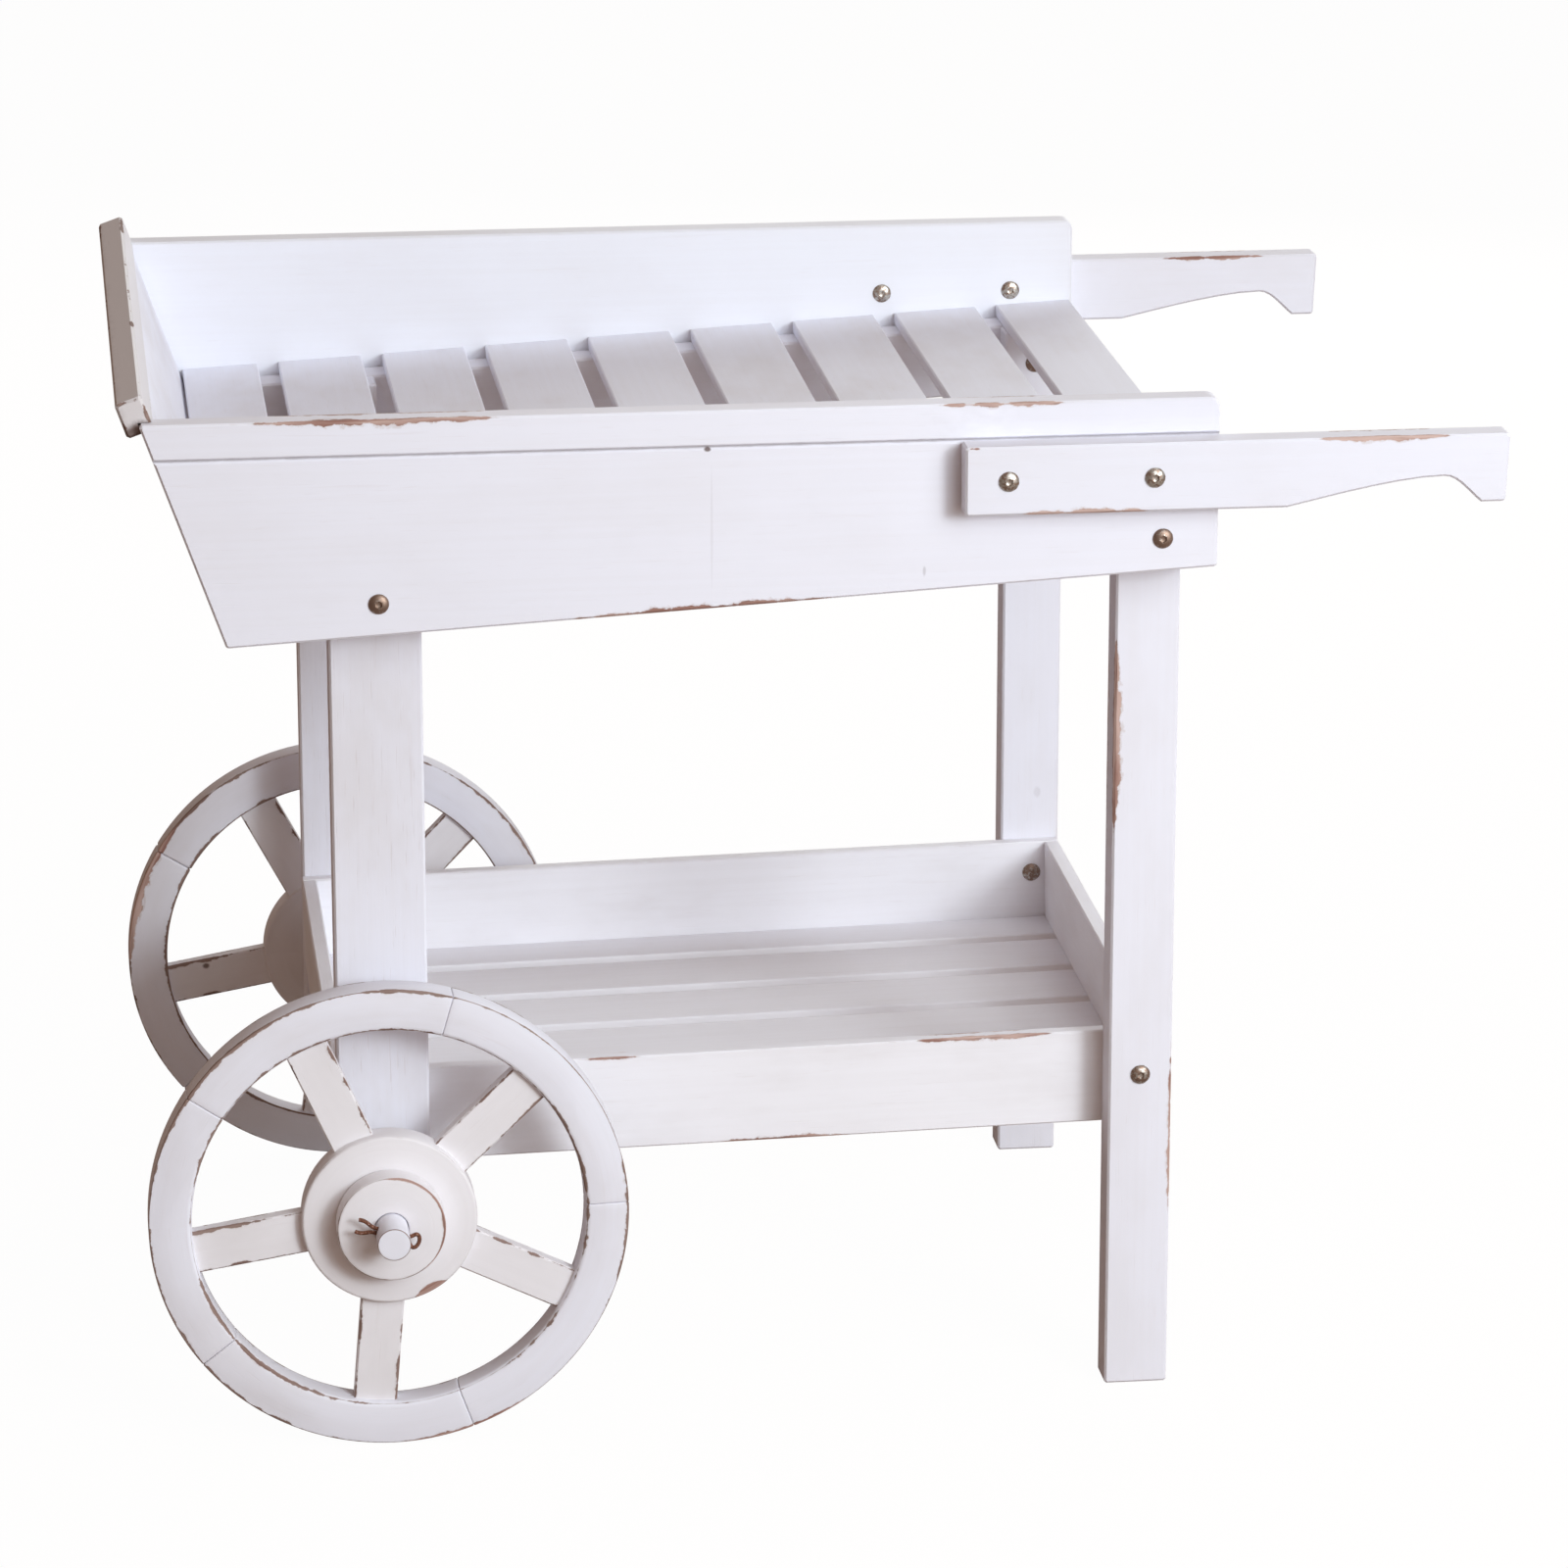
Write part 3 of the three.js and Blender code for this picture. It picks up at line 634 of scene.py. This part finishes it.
def front_hub():
    """The hub: a disc with rounded edges and a boss towards the leg, bored for the axle."""
    disc_middle = Vector((AXLE.x, HUB_LOW.y + HUB_DISC / 2, AXLE.z))
    boss_length = HUB_HIGH.y - HUB_LOW.y - HUB_DISC
    hub = drum("wheel_front_hub_turned", disc_middle, HUB_RADIUS, HUB_DISC, 120)
    edit_faces(hub, lambda normal: normal.y > 0.9)
    bpy.ops.mesh.inset(thickness=HUB_RADIUS - BOSS_RADIUS)
    bpy.ops.mesh.extrude_region_move(TRANSFORM_OT_translate={"value": (0, boss_length, 0)})
    done(hub)
    bored(hub, AXLE + Vector((0, HUB_LOW.y, 0)), BORE_RADIUS, 300 * MM)
    return smooth(eased(hub, 2.2 * MM, 4, 50))


def front_cap():
    """The turned washer that holds the wheel on, its outer edge well rounded."""
    middle = Vector((AXLE.x, (CAP_LOW.y + CAP_HIGH.y) / 2, AXLE.z))
    cap = drum("wheel_front_cap_turned", middle, CAP_RADIUS, CAP_HIGH.y - CAP_LOW.y, 120)
    edit_faces(cap, lambda normal: normal.y < -0.9)
    bpy.ops.mesh.inset(thickness=2.4 * MM)
    bpy.ops.transform.translate(value=(0, -0.4 * MM, 0))
    done(cap)
    bored(cap, middle, BORE_RADIUS, 100 * MM)
    return smooth(eased(cap, 1.6 * MM, 4, 25))


def axle_dowel():
    """The wooden axle with hand-cut, slightly domed ends and the holes for its split pins."""
    dowel = drum("axle_dowel", AXLE, AXLE_RADIUS, AXLE_HIGH.y - AXLE_LOW.y, 64)
    edit_faces(dowel, lambda normal: abs(normal.y) > 0.9)
    bpy.ops.mesh.inset(thickness=AXLE_RADIUS * 0.45, use_individual=True)
    done(dowel)
    for side in SIDES:
        place = (AXLE.x, centre_of(f"split_pin_{side}").y, AXLE.z)
        hollowed(dowel, drum("pin_hole", place, 3.2 * MM, 60 * MM, 24, (0, math.pi / 2 + PIN_TURN, 0)))
    return smooth(eased(dowel, 3 * MM, 5, 50))


def split_pin(name, y):
    """A split pin: an oval eye on one side of the axle, two ends bent apart on the other."""
    wire = 1.5 * MM
    eye_half_width, eye_half_height, eye_end = 3.3 * MM, 5.6 * MM, 20.2 * MM
    bent = [(x * MM, z * MM) for x, z in ((-27, 4.6), (-24, 5.2), (-20, 4.0), (-16.5, 1.9))]
    leg = bent + [(-12 * MM, wire * 1.05), (0, wire), (12 * MM, wire * 1.05)]
    eye = [
        (eye_end - eye_half_width + eye_half_width * math.cos(a), eye_half_height * math.sin(a))
        for a in map(math.radians, (140, 105, 65, 22, -22, -65, -105, -140))
    ]
    path = leg + eye + [(x, -z) for x, z in reversed(leg)]
    begin()
    bpy.ops.curve.primitive_nurbs_path_add()
    pin = named(name)
    pin.data.splines.clear()
    spline = pin.data.splines.new("NURBS")
    spline.points.add(len(path) - 1)
    turn = Matrix.Translation((AXLE.x, y, AXLE.z)) @ Matrix.Rotation(PIN_TURN, 4, "Y")
    for point, (x, z) in zip(spline.points, path):
        point.co = (*(turn @ Vector((x, 0, z))), 1)
    spline.order_u = 4
    spline.use_endpoint_u = True
    pin.data.dimensions = "3D"
    pin.data.bevel_depth = wire
    pin.data.bevel_resolution = 4
    pin.data.resolution_u = 6
    pin.data.use_fill_caps = True
    take(pin)
    bpy.ops.object.convert(target="MESH")
    return smooth(settle(bpy.context.object), 50)


def fit_turned(master, side, part, radius, **wear):
    """A side's hub or cap: a copy of the front one in its paint, in place of its CAD node."""
    node = f"wheel_{side}_{part}"
    low, high = node_box(node)
    piece = copy_of(master, f"{node}_turned_piece", ON_SIDE[side])
    piece.data.materials.append(
        wheel_paint(node, (0, radius), (low.y, high.y), soil=0.5, cover=CREAM, **wear)
    )
    fasten_to(piece, f"wheel_{side}", node, slot="painted_wheel")


def fit_rim(side, faces, seed):
    """A side's five felloes, in place of its CAD rim."""
    body = f"wheel_{side}"
    radii = (WHEEL_RADIUS - RIM_DEPTH, WHEEL_RADIUS)
    paint = wheel_paint(f"{body}_rim", radii, faces, seed, rub=1.1, line=0.25, soil=0.35)
    felloe = front_felloe(FIRST_JOINT[side])
    for i in range(FELLOES):
        piece = copy_of(felloe, f"{body}_felloe_{i + 1}", ON_SIDE[side] @ about_axle(i * FELLOE_ANGLE))
        piece.data.materials.append(paint)
        fasten_to(piece, body, f"{body}_rim", slot="painted_wheel")
    bpy.data.objects.remove(felloe)


def dress_spoke(name, seed):
    """A spoke keeps its CAD mesh; its angle is read from the place of its box."""
    centre = centre_of(name)
    angle = math.atan2(centre.z - AXLE.z, centre.x - AXLE.x)
    inner, outer = HUB_RADIUS - SPOKE_IN_HUB, WHEEL_RADIUS - RIM_DEPTH + SPOKE_IN_RIM
    half = ((outer - inner) / 2, half_of(name).y, SPOKE_HALF_WIDTH)
    dress_board(name, -angle, half, seed, rub=1.0, line=0.8, soil=0.4, cover=CREAM)


def build_wheels():
    hub = front_hub()
    cap = front_cap()
    front_faces = (-RIM_FACE, -RIM_FACE + RIM_WIDTH)
    back_faces = (RIM_FACE - RIM_WIDTH, RIM_FACE)
    for side, faces, seed in (("front", front_faces, 3), ("back", back_faces, 8)):
        fit_rim(side, faces, seed)
        fit_turned(hub, side, "hub", HUB_RADIUS, seed=5, rub=0.3)
        fit_turned(cap, side, "cap", CAP_RADIUS, seed=6, rub=0.6, line=0.15)
        for i in range(SPOKES):
            dress_spoke(f"wheel_{side}_spoke_{i + 1}", 20 + i)
    for master in (hub, cap):
        bpy.data.objects.remove(master)


def build_axle():
    dowel = axle_dowel()
    paint = wheel_paint("axle", (0, AXLE_RADIUS), (AXLE_LOW.y, AXLE_HIGH.y), seed=9, rub=0.1, soil=0.1)
    dowel.data.materials.append(paint)
    fasten_to(dowel, "cart", "axle", slot="painted_wheel")
    wire = rusty_wire()
    for side in SIDES:
        pin = split_pin(f"split_pin_{side}_wire", centre_of(f"split_pin_{side}").y)
        pin.data.materials.append(wire)
        fasten_to(pin, "cart", f"split_pin_{side}", slot="rusty_pin")


# ------------------------------------------------------------ bolts

HEAD_RADIUS, HEAD_HEIGHT = 7.5 * MM, 3.2 * MM
SOCKET_RADIUS, SOCKET_TOOL = 2.35 * MM, 3.6 * MM
SHANK_RADIUS, SHANK_SHORTER = 3 * MM, 5 * MM
NUT_FLATNESS = 0.82


def bolt_master():
    """A connector bolt's head, facing -Y at the origin: a low dome with a hexagon socket."""
    begin()
    bpy.ops.mesh.primitive_uv_sphere_add(segments=48, ring_count=24, radius=HEAD_RADIUS)
    head = named("bolt_head")
    head.scale = (1, 1, HEAD_HEIGHT / HEAD_RADIUS)
    head.rotation_euler = (math.pi / 2, 0, 0)
    settle(head)
    sawn(head, (0, -0.35 * MM, 0), (0, 1, 0), clear_outer=True)
    outwards(head)
    corners = SOCKET_RADIUS / math.cos(math.pi / 6)
    hollowed(head, drum("socket", (0, -HEAD_HEIGHT, 0), corners, SOCKET_TOOL, 6))
    return smooth(eased(head, 0.25 * MM, 2, 50), 40)


def build_bolts():
    """Every bolt: a shank, a head on the outside of its boards and a flatter cap nut on the inside."""
    master = bolt_master()
    plating = {
        "leg": browned_nickel("leg_bolt_plating", 1.0),
        "handle": browned_nickel("handle_bolt_plating", 0.5),
        "lower": browned_nickel("lower_bolt_plating", 0.7),
    }
    for name in [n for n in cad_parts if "bolt" in n]:
        low, high = node_box(name)
        middle = (low + high) / 2
        outer, inner, outward = (low.y, high.y, -1) if low.y < 0 else (high.y, low.y, 1)
        parts = []
        for label, y, way, flat in (("head", outer, outward, 1), ("nut", inner, -outward, NUT_FLATNESS)):
            seat = Matrix.Translation((middle.x, y - way * HEAD_HEIGHT * flat, middle.z))
            turn = Matrix.Rotation(0 if way < 0 else math.pi, 4, "Z")
            place = seat @ turn @ Matrix.Diagonal((1, flat, 1, 1))
            parts.append(copy_of(master, f"{name}_{label}", place))
        shank = drum(f"{name}_domed", middle, SHANK_RADIUS, high.y - low.y - SHANK_SHORTER, 24)
        smooth(shank, 40)
        take(*parts, shank)
        bpy.ops.object.join()
        piece = bpy.context.object
        piece.data.materials.clear()
        piece.data.materials.append(plating[name.split("_")[0]])
        fasten_to(piece, "cart", name, slot="worn_bolt")
    bpy.data.objects.remove(master)


# ------------------------------------------------------------ painted boards


def dress_tray_side(side, seed, **wear):
    name = f"tray_side_{side}"
    half = half_of(name)
    foot = (LEAN_FOOT - LEAN_TOP) * MM - half.x

    def ends(x, z):
        """The distances from the leaning end and from the sloping bottom edge."""
        left = (x + half.x + (z - half.z) * math.tan(END_LEAN)) * math.cos(END_LEAN)
        under = (z + half.z - (x - foot) * math.tan(FLOOR_SLOPE)) * math.cos(FLOOR_SLOPE)
        return left.low(half.x - x), under.low(half.z - z)

    dress_board(name, 0, half, seed, ends, soil=0.14, **wear)


def dress_tray():
    dress_tray_side("front", 1, rub=0.35)
    # the back side's darker paint is painted shade
    dress_tray_side("back", 2, rub=0.12, cover=SHADED)
    # the rail's soiled paint is darker all over, partly as painted shade for its outer face
    dress_board("end_rail", -END_LEAN, RAIL_HALF, 31, rub=1.4, line=0.25, soil=0.6, cover=PAINT_SOILED)
    dress_board("end_panel", -END_LEAN, PANEL_HALF, 32, soil=0.4)


def dress_sides():
    """The boards that come once for the front and once for the back."""
    for i, side in enumerate(SIDES):
        handle = f"handle_{side}"
        # the handles' darker paint is painted shade
        dress_board(handle, 0, half_of(handle), 11 + i, rub=0.25, soil=0.2, cover=HANDLE_PAINT_SHADE)
        leg = f"leg_{side}_handle_end"
        dress_board(leg, 0, half_of(leg), 13 + i, soil=0.25)
        leg = f"leg_{side}_wheel_end"
        dress_board(leg, 0, half_of(leg), 15 + i, rub=0.2, grain=2.4, soil=0.45)
        dress_board(f"ledger_{side}", -FLOOR_SLOPE, LEDGER_HALF, 17, soil=0.5)
        lower = f"lower_side_{side}"
        # the lower tray's whiter paint, which is painted light
        dress_board(lower, -LOWER_TILT, LOWER_SIDE_HALF, 18 + i, rub=0.3, soil=0.3, cover=WHITE)


def dress_lower_ends():
    for end in ("wheel", "handle"):
        name = f"lower_end_{end}"
        half = (LOWER_HALF_THICK, half_of(name).y, LOWER_HALF_HIGH)
        # the lower tray's whiter paint, which is painted light
        dress_board(name, -LOWER_TILT, half, 33, rub=0.2, soil=0.3, cover=WHITE)


def dress_slats():
    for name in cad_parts:
        kind, _, number = name.rpartition("_")
        if kind == "floor_slat":
            half = (half_of(name).x, half_of(name).y, FLOOR_SLAT_HALF_THICK)
            # the floor slats in their lighter paint, which is painted light
            dress_board(name, -FLOOR_SLOPE, half, 40 + int(number), rub=0.05, soil=0.3, cover=SLAT)
        if kind == "lower_slat":
            half = (half_of(name).x, half_of(name).y, LOWER_SLAT_HALF_THICK)
            # the lower tray's whiter paint, which is painted light
            dress_board(name, -LOWER_TILT, half, 60 + int(number), rub=0.05, soil=0.1, cover=WHITE)


# ------------------------------------------------------------ studio

AIM = Vector((0, 0, 0.4))
WHITE_SHARE, GLOW_STRENGTH = 0.92, 1.06


def build_floor():
    """A pale floor: nearly white to the camera, with the cart's shadow, and matt to all other light."""
    begin()
    bpy.ops.mesh.primitive_plane_add(size=40, location=(0, 0, 0))
    floor = named("studio_floor")
    finish = Finish("studio_floor_paint")
    seen = finish.node("ShaderNodeLightPath", {}, {}, "Is Camera Ray")
    matt = finish.node("ShaderNodeBsdfPrincipled", {}, {"Base Color": FLOOR, "Roughness": 0.9})
    glow = finish.node("ShaderNodeEmission", {}, {"Color": GLOW, "Strength": GLOW_STRENGTH})
    mixed = finish.node("ShaderNodeMixShader", {}, {0: seen * WHITE_SHARE, 1: matt, 2: glow})
    floor.data.materials.append(finish.shown(mixed))


def softbox(name, strength, azimuth, height, away, spread):
    """A round, slightly cool light. Azimuth 0 is in front of the cart and 90 at its handle end.

    `spread` is its width in degrees as seen from the cart, and `strength` what falls on a surface that
    faces it, in W/m2.
    """
    light = bpy.data.lights.new(name, "AREA")
    light.shape = "DISK"
    light.size = 2 * away * math.tan(math.radians(spread / 2))
    light.energy = strength * math.pi * away**2
    light.color = DAYLIGHT
    lamp = bpy.data.objects.new(name, light)
    bpy.context.scene.collection.objects.link(lamp)
    azimuth, height = math.radians(azimuth), math.radians(height)
    level = math.cos(height)
    towards = Vector((math.sin(azimuth) * level, -math.cos(azimuth) * level, math.sin(height)))
    lamp.location = AIM + towards * away
    lamp.rotation_euler = towards.to_track_quat("Z", "Y").to_euler()


def build_light():
    """White behind the cart, a dim warm room all around, three lights in front and one behind."""
    world = bpy.data.worlds.new("studio")
    bpy.context.scene.world = world
    world.use_nodes = True
    tree = world.node_tree
    tree.nodes.clear()
    path = tree.nodes.new("ShaderNodeLightPath")
    mix = tree.nodes.new("ShaderNodeMixShader")
    tree.links.new(path.outputs["Is Camera Ray"], mix.inputs[0])
    for slot, colour in ((1, ROOM), (2, GLOW)):
        background = tree.nodes.new("ShaderNodeBackground")
        background.inputs["Color"].default_value = colour
        tree.links.new(background.outputs[0], mix.inputs[slot])
    out = tree.nodes.new("ShaderNodeOutputWorld")
    tree.links.new(mix.outputs[0], out.inputs[0])
    softbox("low_light", strength=0.95, azimuth=29, height=17, away=5.5, spread=13)
    softbox("broad_light", strength=1.92, azimuth=28, height=22, away=4.0, spread=40)
    softbox("top_light", strength=0.5, azimuth=45, height=70, away=4.0, spread=50)
    softbox("back_light", strength=1.2, azimuth=165, height=20, away=4.0, spread=40)


def build_camera():
    """The photograph's own view: its place and lens come from fitting the cart's corners."""
    down, right = 16.311, 6.9
    data = bpy.data.cameras.new("camera")
    data.sensor_width = 36
    data.lens = 146.13
    camera = bpy.data.objects.new("camera", data)
    bpy.context.scene.collection.objects.link(camera)
    camera.location = (-0.5524, -4.6926, 1.7801)
    camera.rotation_euler = Euler((math.radians(90 - down), 0, math.radians(-right)))
    bpy.context.scene.camera = camera


build_camera()
build_floor()
build_light()
build_wheels()
build_axle()
build_bolts()
dress_tray()
dress_sides()
dress_lower_ends()
dress_slats()
bpy.context.scene.view_settings.view_transform = "Standard"
